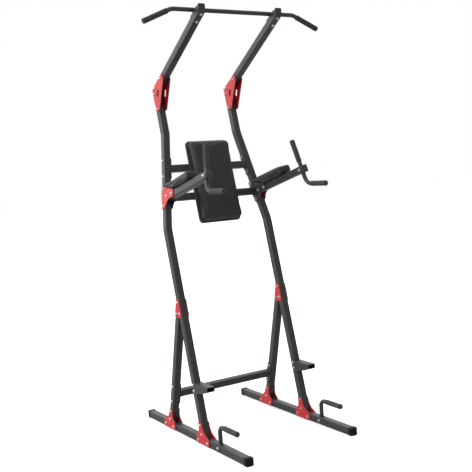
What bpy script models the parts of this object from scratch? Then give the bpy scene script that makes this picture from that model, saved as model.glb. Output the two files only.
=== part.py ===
"""Power tower: dip, knee-raise, pull-up and push-up station on two floor beams.

Metres, +Z up. The user faces -Y, left and right are -X and +X, and the
machine stands on the floor at z = 0 with its footprint centred on the origin.
"""
import math

import bmesh
import bpy
from mathutils import Matrix, Vector

# ---- driving dimensions -------------------------------------------------
GAP = 0.0003                 # working gap between touching pieces
TUBE = 0.038                 # side of the square frame tube
CORNER = 0.0045              # outside corner radius of the tube
HALF = TUBE / 2
PLATE = 0.004                # thickness of the joining plates

TRACK = 0.315                # middle plane of each floor beam and leg pair
NECK = 0.226                 # middle plane of the narrower top section
BEAM_END = 0.515             # half the overall length of a floor beam
CAP_WALL = 0.0015
CAP_SLEEVE = 0.020
CAP_END = 0.003
BEAM_Z = CAP_WALL + GAP + HALF
BEAM_TOP = BEAM_Z + HALF

FOOT_Y = -0.120              # where the upright's centre line meets the floor
LEAN = math.radians(14.08)   # the upright leans back
LOW_BEND = 1.1237            # distance along the lean to the lower kink
HIGH_BEND = 1.634            # and to the upper kink
BEND_RADIUS = 0.11

REAR_FOOT_Y = 0.2492         # where the rear leg's centre line meets the floor
REAR_LEAN = math.radians(14.76)

ARM_RISE = math.atan(0.636)  # slope of the top arm
ARM_AT_AXIS = 2.0403         # height of the top arm's centre line at y = 0
ARM_CUT_Y = -0.190           # plumb cut at the front of the top arm
ARM_CAP = 0.0035

BAR_RADIUS = 0.011
GRIP_RADIUS = 0.0138
BAR_Y = -0.131               # centre of the pull-up bar
BAR_KINK = 0.360
BAR_TIP = 0.512
BAR_DROP = math.radians(23.2)
BAR_GRIP_FROM = 0.385
BAR_BOLT_REACH = 0.026
SEAT_REACH = 0.040           # half the length of a seat plate under the bar
SADDLE = (0.013, 0.008, 0.004)    # half sizes of the block between seat and bar

ARM_LEVEL = 1.2856           # forearm supports, distance along the lean
BACK_BAR_LEVEL = 1.4433      # upper back crossbar, distance along the lean
ARM_END = 0.466              # forearm support length from the upright's axis
HANDLE_AT = 0.444
HANDLE_UP = 0.157
HANDLE_CORNER = 0.077
HANDLE_RADIUS = 0.045
DIP_TIP_Y = -0.412
HAND_GRIP_FROM = 0.044
DIP_GRIP_FROM = 0.040
BRACKET_BOLTS = (0.044, 0.103)
PAD_FROM = 0.030             # forearm pad, distances from the upright's axis
PAD_FLAT_FROM = 0.1235
PAD_TO = 0.312
PAD_HALF = 0.041
PAD_REAR_LOW = 0.0518
PAD_TOP = 0.0655

BACK_FROM = 1.127
BACK_TO = 1.587
BACK_HALF = 0.132
BACK_BOARD = 0.010
BACK_THICK = 0.045

FOOT_PLATE_HALF = 0.0625
FOOT_BOLT_REACH = 0.045
FOOT_BOLTS = (0.100, 0.054)

LOW_BAR_LEVEL = 0.207        # lower crossbar, distance along the rear leg
END_PLATE_HALF = 0.058
BOLT_REACH = 0.0435

STEP_Y = -0.190
STEP_HALF = HALF + GAP + 0.003
STEP_SHEET = 0.003
STEP_BOLTS = (0.2985, 0.2695)

PUSH_Y = -0.254
PUSH_Z = 0.128
PUSH_TIP_Y = -0.417
PUSH_RADIUS = 0.032
PUSH_GRIP_FROM = 0.048

X_AXIS = Vector((1, 0, 0))
Y_AXIS = Vector((0, 1, 0))
Z_AXIS = Vector((0, 0, 1))
SIDES = (("left", -1), ("right", 1))

for stale in list(bpy.data.objects):
    bpy.data.objects.remove(stale, do_unlink=True)

TOWER = bpy.data.collections.new("power_tower")
CUTTERS = bpy.data.collections.new("cutters")
bpy.context.scene.collection.children.link(TOWER)
bpy.context.scene.collection.children.link(CUTTERS)


# ---- materials ----------------------------------------------------------
GRAPHITE = (0.045, 0.047, 0.050)
RED = (0.62, 0.02, 0.03)
BLACK = (0.015, 0.015, 0.016)
VINYL = (0.012, 0.012, 0.013)
PLY = (0.035, 0.032, 0.030)

# colour, roughness, metallic
PAINT = (GRAPHITE, 0.42, 0.25)
BRACKET = (RED, 0.38, 0.1)
PLASTIC = (BLACK, 0.5, 0.0)
FOAM = (BLACK, 0.85, 0.0)
LEATHER = (VINYL, 0.45, 0.0)
BOARD = (PLY, 0.7, 0.0)


def material(name, look):
    colour, roughness, metallic = look
    made = bpy.data.materials.new(name)
    made.use_nodes = True
    shader = made.node_tree.nodes["Principled BSDF"]
    shader.inputs["Base Color"].default_value = (*colour, 1.0)
    shader.inputs["Roughness"].default_value = roughness
    shader.inputs["Metallic"].default_value = metallic
    return made


# ---- building blocks ----------------------------------------------------
def add_object(name, data, look=None):
    made = bpy.data.objects.new(name, data)
    if look:
        data.materials.append(material(name + "_finish", look))
        TOWER.objects.link(made)
    else:
        CUTTERS.objects.link(made)
        made.hide_render = True
        made.display_type = "WIRE"
    return made


def from_bmesh(name, mesh_data, look=None):
    bmesh.ops.recalc_face_normals(mesh_data, faces=mesh_data.faces[:])
    mesh = bpy.data.meshes.new(name)
    mesh_data.to_mesh(mesh)
    mesh_data.free()
    return add_object(name, mesh, look)


def frame_of(origin, u, v):
    """Placement whose x, y and z axes are u, v and their cross product."""
    made = Matrix((u, v, u.cross(v))).transposed().to_4x4()
    made.translation = origin
    return made


def evaluated(holder):
    """The object's shape with its modifiers applied, as a new mesh."""
    bpy.context.view_layer.update()
    graph = bpy.context.evaluated_depsgraph_get()
    return bpy.data.meshes.new_from_object(holder.evaluated_get(graph))


def combine(target, other, operation):
    """Join or cut one object with another, which is then discarded."""
    modifier = target.modifiers.new("combine", "BOOLEAN")
    modifier.operation = operation
    modifier.solver = "EXACT"
    modifier.object = other
    result = evaluated(target)
    target.modifiers.clear()
    target.data = result
    bpy.data.objects.remove(other, do_unlink=True)


def box(half_x, half_y, half_z, corner=0.0, rim=0.0):
    """Box with rounded upright edges and, if rim is set, a rounded top."""
    mesh_data = bmesh.new()
    bmesh.ops.create_cube(mesh_data, size=2.0)
    bmesh.ops.scale(mesh_data, vec=(half_x, half_y, half_z), verts=mesh_data.verts[:])
    if corner:
        upright = [edge for edge in mesh_data.edges
                   if abs(edge.verts[0].co.z - edge.verts[1].co.z) > half_z]
        bmesh.ops.bevel(mesh_data, geom=upright, offset=corner, offset_type="OFFSET",
                        segments=4 if rim else 2, profile=0.5, affect="EDGES")
    if rim:
        top = [edge for edge in mesh_data.edges
               if min(vert.co.z for vert in edge.verts) > half_z - 0.00001]
        bmesh.ops.bevel(mesh_data, geom=top, offset=rim, offset_type="OFFSET",
                        segments=3, profile=0.5, affect="EDGES")
    return mesh_data


def square_tube(name, start, end, across, look, cuts=(), half_across=HALF, half_deep=HALF):
    """Straight rectangular tube, trimmed by planes (point, outward normal)."""
    along = (end - start).normalized()
    deep = along.cross(across).normalized()
    across = deep.cross(along)
    mesh_data = box(half_across, half_deep, (end - start).length / 2, CORNER)
    mesh_data.transform(frame_of((start + end) / 2, across, deep))
    for point, normal in cuts:
        parts = mesh_data.verts[:] + mesh_data.edges[:] + mesh_data.faces[:]
        cut = bmesh.ops.bisect_plane(mesh_data, geom=parts, dist=0.0000001, plane_co=point,
                                     plane_no=normal, clear_outer=True)
        rim = [item for item in cut["geom_cut"] if isinstance(item, bmesh.types.BMEdge)]
        bmesh.ops.edgeloop_fill(mesh_data, edges=rim)
    return from_bmesh(name, mesh_data, look)


def filleted(corners, radius, steps=6):
    """Replace each inner corner of a polyline with an arc."""
    path = [corners[0]]
    for before, corner, after in zip(corners, corners[1:], corners[2:]):
        come = (corner - before).normalized()
        go = (after - corner).normalized()
        turn = come.angle(go)
        start = corner - come * radius * math.tan(turn / 2)
        inward = (go - come * come.dot(go)).normalized()
        for k in range(steps + 1):
            angle = turn * k / steps
            path.append(start + inward * radius * (1 - math.cos(angle))
                        + come * radius * math.sin(angle))
    path.append(corners[-1])
    return path


def bent_bar(name, corners, bend, look):
    """Round bar along a polyline with filleted corners."""
    path = filleted(corners, bend)
    curve = bpy.data.curves.new(name, "CURVE")
    curve.dimensions = "3D"
    curve.bevel_depth = BAR_RADIUS
    curve.bevel_resolution = 6
    curve.use_fill_caps = True
    spline = curve.splines.new("POLY")
    spline.points.add(len(path) - 1)
    for point, place in zip(spline.points, path):
        point.co = (*place, 1.0)
    holder = add_object(name + "_path", curve)
    mesh_data = bmesh.new()
    mesh_data.from_mesh(evaluated(holder))
    bmesh.ops.remove_doubles(mesh_data, verts=mesh_data.verts[:], dist=0.00001)
    made = from_bmesh(name, mesh_data, look)
    made.matrix_world = holder.matrix_world.copy()
    bpy.data.objects.remove(holder, do_unlink=True)
    rounded(made)
    return made


def rounded(made):
    made.data.shade_smooth()
    made.data.set_sharp_from_angle(angle=math.radians(35))


def turned(name, profile, steps, look=None):
    """Turn a profile of (radius, height) around Z with a Screw modifier."""
    mesh = bpy.data.meshes.new(name)
    mesh.from_pydata([(r, 0, h) for r, h in profile],
                     [(i, i + 1) for i in range(len(profile) - 1)], [])
    made = add_object(name, mesh, look)
    screw = made.modifiers.new("turn", "SCREW")
    screw.steps = steps
    screw.render_steps = steps
    screw.use_merge_vertices = True
    screw.merge_threshold = 0.00001
    return made


def grip(name, mouth, tip):
    """Foam sleeve over the end of a round bar, closed beyond the bar's tip."""
    length = (tip - mouth).length
    bore = BAR_RADIUS + GAP
    profile = [(0, length + 0.0045), (GRIP_RADIUS * 0.72, length + 0.0045),
               (GRIP_RADIUS, length + 0.0012), (GRIP_RADIUS, 0.0008),
               (GRIP_RADIUS - 0.0008, 0), (bore, 0), (bore, length + GAP), (0, length + GAP)]
    made = turned(name, profile, 16, FOAM)
    along = (tip - mouth).normalized()
    u = along.orthogonal().normalized()
    made.matrix_world = frame_of(mouth, u, along.cross(u))
    return made


def flat_plate(name, outlines, placement, thickness, look=None):
    """Plate with its outlines in the placement's x and y, centred on its z."""
    curve = bpy.data.curves.new(name, "CURVE")
    curve.dimensions = "2D"
    curve.fill_mode = "BOTH"
    curve.extrude = thickness / 2
    for outline in outlines:
        spline = curve.splines.new("POLY")
        spline.points.add(len(outline) - 1)
        for point, (a, b) in zip(spline.points, outline):
            point.co = (a, b, 0, 1)
        spline.use_cyclic_u = True
    holder = add_object(name + "_outline", curve)
    mesh_data = bmesh.new()
    mesh_data.from_mesh(evaluated(holder))
    bmesh.ops.remove_doubles(mesh_data, verts=mesh_data.verts[:], dist=0.00002)
    bpy.data.objects.remove(holder, do_unlink=True)
    mesh_data.transform(placement)
    return from_bmesh(name, mesh_data, look)


def soft_corners(points, radius, steps=3):
    """Round every corner of a closed outline."""
    outline = []
    for i, point in enumerate(points):
        corner = Vector(point)
        before = Vector(points[i - 1]) - corner
        after = Vector(points[(i + 1) % len(points)]) - corner
        reach = min(radius, before.length * 0.45, after.length * 0.45)
        a = corner + before.normalized() * reach
        b = corner + after.normalized() * reach
        for k in range(steps + 1):
            t = k / steps
            outline.append(tuple(a * (1 - t) ** 2 + corner * 2 * t * (1 - t) + b * t ** 2))
    return outline


HEAD = ((0, 0.0068), (0.0050, 0.0052), (0.0078, 0.0014), (0.0078, -0.0006), (0, -0.0006))
pattern = turned("bolt_pattern", HEAD, 8)
BOLT = evaluated(pattern)
bpy.data.objects.remove(pattern, do_unlink=True)


def add_bolts(target, places):
    """Join domed bolt heads, washer included, to the piece they bear on."""
    mesh_data = bmesh.new()
    for centre, axis in places:
        u = axis.orthogonal().normalized()
        copy = BOLT.copy()
        copy.transform(frame_of(centre, u, axis.normalized().cross(u)))
        mesh_data.from_mesh(copy)
        bpy.data.meshes.remove(copy)
    combine(target, from_bmesh("heads", mesh_data), "UNION")


# ---- shared directions --------------------------------------------------
UP = Vector((0, math.sin(LEAN), math.cos(LEAN)))         # along the upright
OUT = Vector((0, -math.cos(LEAN), math.sin(LEAN)))       # square to its front
FOOT = Vector((0, FOOT_Y, 0))
KINK = math.atan2(TRACK - NECK, HIGH_BEND - LOW_BEND)    # sideways lean
REAR_UP = Vector((0, -math.sin(REAR_LEAN), math.cos(REAR_LEAN)))
REAR_OUT = Vector((0, -math.cos(REAR_LEAN), -math.sin(REAR_LEAN)))
REAR_FOOT = Vector((0, REAR_FOOT_Y, 0))
ARM_OUT = Vector((0, -math.cos(ARM_RISE), math.sin(ARM_RISE)))
ARM_UP = Vector((0, math.sin(ARM_RISE), math.cos(ARM_RISE)))


def on_lean(x, along, out=0.0):
    return FOOT + X_AXIS * x + UP * along + OUT * out


def half_width_at(along):
    share = (along - LOW_BEND) / (HIGH_BEND - LOW_BEND)
    return TRACK + (NECK - TRACK) * min(1.0, max(0.0, share))


def upright_line(z):
    return FOOT_Y + math.tan(LEAN) * z


def rear_line(z):
    return REAR_FOOT_Y - math.tan(REAR_LEAN) * z


def kinked(side):
    """Up and sideways directions of the inward-leaning middle section."""
    up = UP * math.cos(KINK) - X_AXIS * side * math.sin(KINK)
    across = X_AXIS * math.cos(KINK) + UP * side * math.sin(KINK)
    return up, across


# where the upright's centre line meets the top arm's
KNEE_Z = (ARM_AT_AXIS - math.tan(ARM_RISE) * FOOT_Y) / (1 + math.tan(ARM_RISE) * math.tan(LEAN))
KNEE = Vector((0, upright_line(KNEE_Z), KNEE_Z))
MITRE = (UP + ARM_OUT).normalized()
FACE = HALF + GAP + PLATE    # outer surface of a plate beside a tube
FACES = (("inner", -1), ("outer", 1))


# ---- floor beams --------------------------------------------------------
beams = {}
for label, side in SIDES:
    front = Vector((side * TRACK, CAP_END + GAP - BEAM_END, BEAM_Z))
    rear = Vector((side * TRACK, BEAM_END - CAP_END - GAP, BEAM_Z))
    beams[side] = square_tube("floor_beam_" + label, front, rear, X_AXIS, PAINT)
    for where, sign in (("front", -1), ("rear", 1)):
        tip = Vector((side * TRACK, sign * BEAM_END, BEAM_Z))
        inward = -Y_AXIS * sign
        half = HALF + GAP + CAP_WALL
        length = CAP_END + CAP_SLEEVE
        shell = box(half, half, length / 2, CORNER + 0.001)
        shell.transform(frame_of(tip + inward * length / 2, X_AXIS, inward.cross(X_AXIS)))
        cap = from_bmesh(f"{where}_beam_cap_{label}", shell, PLASTIC)
        hollow = box(HALF + GAP, HALF + GAP, length / 2, CORNER)
        hollow.transform(frame_of(tip + inward * (length / 2 + CAP_END), X_AXIS,
                                  inward.cross(X_AXIS)))
        combine(cap, from_bmesh("hollow", hollow), "DIFFERENCE")


# ---- uprights -----------------------------------------------------------
def section_points():
    """Rounded square of the frame tube, as offsets in two directions."""
    outline = []
    for quarter, (a, b) in enumerate(((1, 1), (-1, 1), (-1, -1), (1, -1))):
        for k in range(3):
            angle = math.radians(90) * (quarter + k / 2)
            outline.append((a * (HALF - CORNER) + CORNER * math.cos(angle),
                            b * (HALF - CORNER) + CORNER * math.sin(angle)))
    return outline


def bent_square_tube(name, path, depth, look, start, end):
    """Square tube bent in one plane, whose normal is depth.

    The first and the last ring slide along the tube onto the planes start
    and end, each a point and a normal.
    """
    mesh_data = bmesh.new()
    rows = []
    last = len(path) - 1
    for i, centre in enumerate(path):
        ahead = (path[min(i + 1, last)] - path[min(i, last - 1)]).normalized()
        behind = (path[max(i, 1)] - path[max(i - 1, 0)]).normalized()
        along = (ahead + behind).normalized()
        widen = 1 / math.cos(ahead.angle(behind) / 2)
        across = along.cross(depth).normalized()
        ring = [centre + across * a * widen + depth * b for a, b in section_points()]
        for row, plane in ((0, start), (last, end)):
            if i == row:
                point, normal = plane
                ring = [place + along * (point - place).dot(normal) / along.dot(normal)
                        for place in ring]
        rows.append([mesh_data.verts.new(place) for place in ring])
    for lower, upper in zip(rows, rows[1:]):
        for j, vert in enumerate(lower):
            k = (j + 1) % len(lower)
            mesh_data.faces.new((vert, lower[k], upper[k], upper[j]))
    mesh_data.faces.new(rows[0])
    mesh_data.faces.new(rows[-1])
    return from_bmesh(name, mesh_data, look)


BEAM_FACE = Vector((0, 0, BEAM_TOP + GAP))
uprights = {}
legs = {}
arms = {}
for label, side in SIDES:
    bend_points = [on_lean(side * TRACK, BEAM_TOP / math.cos(LEAN)),
                   on_lean(side * TRACK, LOW_BEND), on_lean(side * NECK, HIGH_BEND),
                   KNEE + X_AXIS * side * NECK]
    uprights[side] = bent_square_tube(
        "upright_" + label, filleted(bend_points, BEND_RADIUS, 4), OUT, PAINT,
        (BEAM_FACE, Z_AXIS), (KNEE - MITRE * GAP / 2, MITRE))

    foot = REAR_FOOT + X_AXIS * side * TRACK
    legs[side] = square_tube(
        "rear_leg_" + label, foot, foot + REAR_UP * 0.9, X_AXIS, PAINT,
        ((BEAM_FACE, -Z_AXIS), (on_lean(0, 0.7, -HALF - GAP), OUT)))

    root = KNEE + X_AXIS * side * NECK
    arms[side] = square_tube(
        "top_arm_" + label, root - ARM_OUT * 0.06, root + ARM_OUT * 0.75, X_AXIS, PAINT,
        ((KNEE + MITRE * GAP / 2, -MITRE), (Vector((0, ARM_CUT_Y, 0)), -Y_AXIS)))

    tall = HALF / math.cos(ARM_RISE)
    cap_z = ARM_AT_AXIS - math.tan(ARM_RISE) * ARM_CUT_Y
    shell = box(HALF, tall, (ARM_CAP - GAP) / 2, CORNER)
    centre = Vector((side * NECK, ARM_CUT_Y - (ARM_CAP + GAP) / 2, cap_z))
    shell.transform(frame_of(centre, X_AXIS, Z_AXIS))
    from_bmesh("top_arm_cap_" + label, shell, PLASTIC)


# ---- joining plates -----------------------------------------------------
def side_plates(name, label, side, x, outlines, spots):
    """Equal plates on the inner and outer faces of a tube, with bolts."""
    for face, sign in FACES:
        outward = X_AXIS * side * sign
        middle = X_AXIS * x + outward * (HALF + GAP + PLATE / 2)
        made = flat_plate(f"{face}_{name}_{label}", outlines,
                          frame_of(middle, Y_AXIS, Z_AXIS), PLATE, BRACKET)
        add_bolts(made, [(X_AXIS * x + outward * FACE + Y_AXIS * y + Z_AXIS * z, outward)
                         for y, z in spots])


def foot_outline(line):
    """Wide on the beam, sweeping in to follow the leg above it."""
    middle = line(BEAM_Z)
    base = BEAM_Z - HALF + 0.003
    heights = (0.113, 0.094, 0.080, 0.066, 0.055, 0.046)
    flares = (0.0175, 0.0180, 0.0205, 0.027, 0.038, 0.053)
    front = [(line(z) - w, z) for z, w in zip(heights, flares)]
    back = [(line(z) + w, z) for z, w in zip(heights, flares)]
    skirt = [(middle + a, z) for a, z in ((-FOOT_PLATE_HALF, 0.037), (-FOOT_PLATE_HALF, base),
                                          (FOOT_PLATE_HALF, base), (FOOT_PLATE_HALF, 0.037))]
    return soft_corners(front + skirt + back[::-1], 0.005, 2)


BRACE = ((0.047, 0.729), (0.076, 0.729), (0.083, 0.690), (0.094, 0.652), (0.093, 0.634),
         (0.024, 0.634), (0.0255, 0.646), (0.031, 0.668), (0.039, 0.702))
BRACE_BOLTS = ((0.060, 0.712), (0.077, 0.652), (0.043, 0.655))
GUSSET = ((0.2310, 1.9065), (0.216, 1.875), (0.246, 1.800), (0.279, 1.717), (0.317, 1.710),
          (0.335, 1.770), (0.3495, 1.8320), (0.2980, 1.8645))
GUSSET_BOLTS = ((0.2500, 1.8790), (0.3225, 1.8350), (0.3320, 1.8045), (0.3105, 1.7240))
SLOT_CENTRE = Vector((0.285, 1.806))
SLOT_TILT = Matrix.Rotation(0.25, 2)


def slot_outline(half_width=0.0075, half_length=0.019, count=6):
    outline = []
    for end, turn in ((1, 0.0), (-1, math.pi)):
        for k in range(count + 1):
            angle = turn + math.pi * k / count
            spot = Vector((half_width * math.cos(angle),
                           half_width * math.sin(angle) + end * (half_length - half_width)))
            outline.append(tuple(SLOT_CENTRE + SLOT_TILT @ spot))
    return outline


for label, side in SIDES:
    for where, line in (("front", upright_line), ("rear", rear_line)):
        middle = line(BEAM_Z)
        spots = [(line(z), z) for z in FOOT_BOLTS]
        spots += [(middle + sign * FOOT_BOLT_REACH, BEAM_Z) for sign in (-1, 1)]
        side_plates(where + "_foot_plate", label, side, side * TRACK, [foot_outline(line)],
                    spots)
    side_plates("brace_plate", label, side, side * TRACK, [soft_corners(BRACE, 0.007, 2)],
                BRACE_BOLTS)
    side_plates("top_gusset", label, side, side * NECK,
                [soft_corners(GUSSET, 0.008, 2), slot_outline()], GUSSET_BOLTS)


# ---- pull-up bar --------------------------------------------------------
STAND = GAP + PLATE + BAR_RADIUS - 0.0006    # bar centre above the arm's top face
seat_y = BAR_Y - STAND * math.sin(ARM_RISE)
SEAT = Vector((0, seat_y, ARM_AT_AXIS - math.tan(ARM_RISE) * seat_y + HALF / math.cos(ARM_RISE)))
BAR = SEAT + ARM_UP * STAND


def bar_point(x):
    drop = math.tan(BAR_DROP) * max(0.0, abs(x) - BAR_KINK)
    return BAR + Vector((x, 0, -drop))


bar = bent_bar("pull_up_bar", [bar_point(x) for x in (-BAR_TIP, -BAR_KINK, BAR_KINK, BAR_TIP)],
               0.07, PAINT)
upper_heads = []
for label, side in SIDES:
    foot = SEAT + X_AXIS * side * NECK
    seat = box(HALF - 0.001, SEAT_REACH, PLATE / 2, 0.004)
    seat.transform(frame_of(foot + ARM_UP * (GAP + PLATE / 2), X_AXIS, -ARM_OUT))
    combine(bar, from_bmesh("seat", seat), "UNION")
    saddle = box(*SADDLE)
    saddle.transform(frame_of(foot + ARM_UP * (GAP + PLATE + 0.0032), X_AXIS, -ARM_OUT))
    combine(bar, from_bmesh("saddle", saddle), "UNION")
    lower_heads = []
    for sign in (-1, 1):
        spot = foot + ARM_OUT * sign * BAR_BOLT_REACH
        upper_heads.append((spot + ARM_UP * (GAP + PLATE), ARM_UP))
        lower_heads.append((spot - ARM_UP * TUBE, -ARM_UP))
    add_bolts(arms[side], lower_heads)
    grip("pull_up_grip_" + label, bar_point(side * BAR_GRIP_FROM), bar_point(side * BAR_TIP))
add_bolts(bar, upper_heads)


# ---- crossbars ----------------------------------------------------------
def crossbar(name, centre, up, out, half_span, tilt, stand):
    """Rectangular tube with a bolted plate welded on each end.

    half_span is the distance to the face that the middle of an end plate
    bears on, tilt leans the plates inward going up, and stand is the gap
    between plate and face.
    """
    planes = []
    for side in (-1, 1):
        away = (X_AXIS * side * math.cos(tilt) + up * math.sin(tilt))
        face = centre + X_AXIS * side * half_span - away * stand
        planes.append((face, away))
    reach = X_AXIS * (half_span + 0.02)
    made = square_tube(name, centre - reach, centre + reach, up, PAINT,
                       [(face - away * PLATE / 2, away) for face, away in planes],
                       half_deep=HALF - 0.003)
    heads = []
    for face, away in planes:
        rise = out.cross(away).normalized()
        plate = box(END_PLATE_HALF, HALF - 0.001, PLATE / 2, 0.006)
        plate.transform(frame_of(face - away * PLATE / 2, rise, away.cross(rise)))
        combine(made, from_bmesh("end_plate", plate), "UNION")
        heads += [(face - away * PLATE + rise * sign * BOLT_REACH, -away) for sign in (-1, 1)]
    add_bolts(made, heads)
    return made


low_centre = REAR_FOOT + REAR_UP * LOW_BAR_LEVEL
crossbar("lower_crossbar", low_centre, REAR_UP, REAR_OUT, TRACK - HALF, 0.0, GAP)
for name, level, stand in (("lower_back_crossbar", ARM_LEVEL, 2 * GAP + PLATE),
                           ("upper_back_crossbar", BACK_BAR_LEVEL, GAP)):
    reach = half_width_at(level) - HALF / math.cos(KINK)
    crossbar(name, on_lean(0, level), UP, OUT, reach, KINK, stand)
for label, side in SIDES:
    leg_spot = low_centre + X_AXIS * side * (TRACK + HALF)
    add_bolts(legs[side], [(leg_spot + REAR_UP * sign * BOLT_REACH, X_AXIS * side)
                           for sign in (-1, 1)])
    up, across = kinked(side)
    post_spot = on_lean(side * half_width_at(BACK_BAR_LEVEL), BACK_BAR_LEVEL)
    post_spot += across * side * HALF
    add_bolts(uprights[side], [(post_spot + up * sign * BOLT_REACH, across * side)
                               for sign in (-1, 1)])


# ---- forearm supports ---------------------------------------------------
ARM_PLATE = ((-0.0175, 0.060), (0.010, 0.057), (0.119, 0.0185), (0.119, -0.0185),
             (0.066, -0.0185), (0.040, -0.034), (0.019, -0.060), (-0.0175, -0.060))
for label, side in SIDES:
    up, across = kinked(side)
    origin = on_lean(side * half_width_at(ARM_LEVEL), ARM_LEVEL)
    hub = origin + OUT * HANDLE_AT

    tube = square_tube("forearm_tube_" + label, origin + OUT * (HALF + GAP),
                       origin + OUT * ARM_END, across, PAINT)
    drill = bmesh.new()
    bmesh.ops.create_cone(drill, cap_ends=True, segments=16, radius1=BAR_RADIUS + 2 * GAP,
                          radius2=BAR_RADIUS + 2 * GAP, depth=0.08,
                          matrix=frame_of(hub, across, up.cross(across)))
    combine(tube, from_bmesh("drill", drill), "DIFFERENCE")
    add_bolts(tube, [(hub + across * sign * HALF, across * sign) for sign in (-1, 1)])

    shell = box(HALF, HALF, 0.0016, CORNER)
    shell.transform(frame_of(origin + OUT * (ARM_END + GAP + 0.0016), across,
                             OUT.cross(across)))
    from_bmesh("forearm_tube_cap_" + label, shell, PLASTIC)

    for face, sign in FACES:
        outward = across * side * sign
        middle = origin + outward * (HALF + GAP + PLATE / 2)
        made = flat_plate(f"{face}_forearm_plate_{label}", [soft_corners(ARM_PLATE, 0.008, 2)],
                          frame_of(middle, OUT, up), PLATE, BRACKET)
        spots = [origin + OUT * d + outward * FACE for d in BRACKET_BOLTS]
        if face == "outer":
            spots += [origin + up * sign * BOLT_REACH + outward * FACE for sign in (-1, 1)]
        add_bolts(made, [(spot, outward) for spot in spots])

    low = HALF + GAP
    side_view = soft_corners(((PAD_FROM, PAD_REAR_LOW), (PAD_FLAT_FROM, low), (PAD_TO, low),
                              (PAD_TO, PAD_TOP), (PAD_FROM, PAD_TOP)), 0.008, 3)
    rounded(flat_plate("forearm_pad_" + label, [side_view], frame_of(origin, OUT, up),
                       2 * PAD_HALF, LEATHER))

    # one bent bar: hand grip above the tube, dip grip below and in front
    top = hub + up * HANDLE_UP
    corner = hub - up * HANDLE_CORNER
    tip = Vector((corner.x, DIP_TIP_Y, corner.z))
    bent_bar("handle_bar_" + label, [top, corner, tip], HANDLE_RADIUS, PAINT)
    grip("hand_grip_" + label, hub + up * HAND_GRIP_FROM, top)
    grip("dip_grip_" + label, Vector((corner.x, corner.y - DIP_GRIP_FROM, corner.z)),
         tip)


# ---- backrest -----------------------------------------------------------
back_middle = (BACK_FROM + BACK_TO) / 2
back_length = (BACK_TO - BACK_FROM) / 2
front_face = HALF - 0.003 + GAP
board = box(BACK_HALF - 0.003, back_length - 0.003, BACK_BOARD / 2, 0.022)
board.transform(frame_of(on_lean(0, back_middle, front_face + BACK_BOARD / 2), X_AXIS,
                         OUT.cross(X_AXIS)))
from_bmesh("backrest_board", board, BOARD)
front_face += BACK_BOARD + GAP
pad = box(BACK_HALF, back_length, BACK_THICK / 2, 0.026, 0.014)
pad.transform(frame_of(on_lean(0, back_middle, front_face + BACK_THICK / 2), X_AXIS,
                       OUT.cross(X_AXIS)))
rounded(from_bmesh("backrest_pad", pad, LEATHER))


# ---- steps --------------------------------------------------------------
STEP_TOP = 0.312
STEP_LIP = 0.287
STEP = ((-0.036, STEP_TOP), (STEP_Y, STEP_TOP), (STEP_Y, STEP_LIP), (-0.150, 0.274),
        (-0.060, 0.253), (-0.048, 0.253))


def post_face(z):
    return upright_line(z) - HALF / math.cos(LEAN) - GAP


under = STEP_TOP - STEP_SHEET
CAVITY = ((0.03, 0.36), (post_face(0.36), 0.36), (post_face(under), under), (-0.21, under),
          (-0.21, STEP_LIP + STEP_SHEET), (STEP_Y, STEP_LIP + STEP_SHEET),
          (-0.150, 0.274 + STEP_SHEET), (-0.090, 0.263), (post_face(0.22) - 0.010, 0.240),
          (post_face(0.22), 0.22), (0.03, 0.22))
for label, side in SIDES:
    placement = frame_of(X_AXIS * side * TRACK, Y_AXIS, Z_AXIS)
    step = flat_plate("step_" + label, [STEP], placement, STEP_HALF * 2, PAINT)
    combine(step, flat_plate("hollow", [CAVITY], placement, (HALF + GAP) * 2), "DIFFERENCE")
    add_bolts(step, [(Vector((side * TRACK + sign * STEP_HALF, upright_line(z) - 0.004, z)),
                      X_AXIS * sign) for z in STEP_BOLTS for sign in (-1, 1)])


# ---- push-up handles ----------------------------------------------------
for label, side in SIDES:
    x = side * TRACK
    tip = Vector((x, PUSH_TIP_Y, PUSH_Z))
    bent_bar("push_up_handle_" + label,
             [Vector((x, PUSH_Y, BEAM_TOP + GAP)), Vector((x, PUSH_Y, PUSH_Z)), tip],
             PUSH_RADIUS, PAINT)
    grip("push_up_grip_" + label, Vector((x, PUSH_Y - PUSH_GRIP_FROM, PUSH_Z)), tip)
    add_bolts(beams[side], [(Vector((x + sign * HALF, PUSH_Y, BEAM_Z)), X_AXIS * sign)
                            for sign in (-1, 1)])
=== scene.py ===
import math

import bmesh
import bpy
from mathutils import Matrix, Vector, noise


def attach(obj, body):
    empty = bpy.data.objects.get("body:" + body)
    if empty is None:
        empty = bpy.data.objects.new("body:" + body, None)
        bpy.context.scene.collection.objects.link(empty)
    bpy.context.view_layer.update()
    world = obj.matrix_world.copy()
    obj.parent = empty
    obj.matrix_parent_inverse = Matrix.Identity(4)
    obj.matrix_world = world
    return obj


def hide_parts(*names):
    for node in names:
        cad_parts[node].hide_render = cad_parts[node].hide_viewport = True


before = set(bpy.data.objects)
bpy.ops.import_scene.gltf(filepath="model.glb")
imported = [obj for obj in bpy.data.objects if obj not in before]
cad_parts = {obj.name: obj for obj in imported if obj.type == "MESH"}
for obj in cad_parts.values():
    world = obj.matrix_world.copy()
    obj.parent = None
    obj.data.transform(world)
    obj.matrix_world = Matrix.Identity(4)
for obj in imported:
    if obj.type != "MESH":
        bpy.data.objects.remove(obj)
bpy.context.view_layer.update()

# ---- sizes, the same as in the CAD source (metres) ------------------------
GAP = 0.0003
TUBE = 0.038
HALF = TUBE / 2
CORNER = 0.0045
PLATE = 0.004
TRACK = 0.315
NECK = 0.226
BEAM_END = 0.515
BEAM_Z = 0.0018 + HALF
BEAM_TOP = BEAM_Z + HALF
FOOT_Y = -0.120
LEAN = math.radians(14.08)
LOW_BEND = 1.1237
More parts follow.
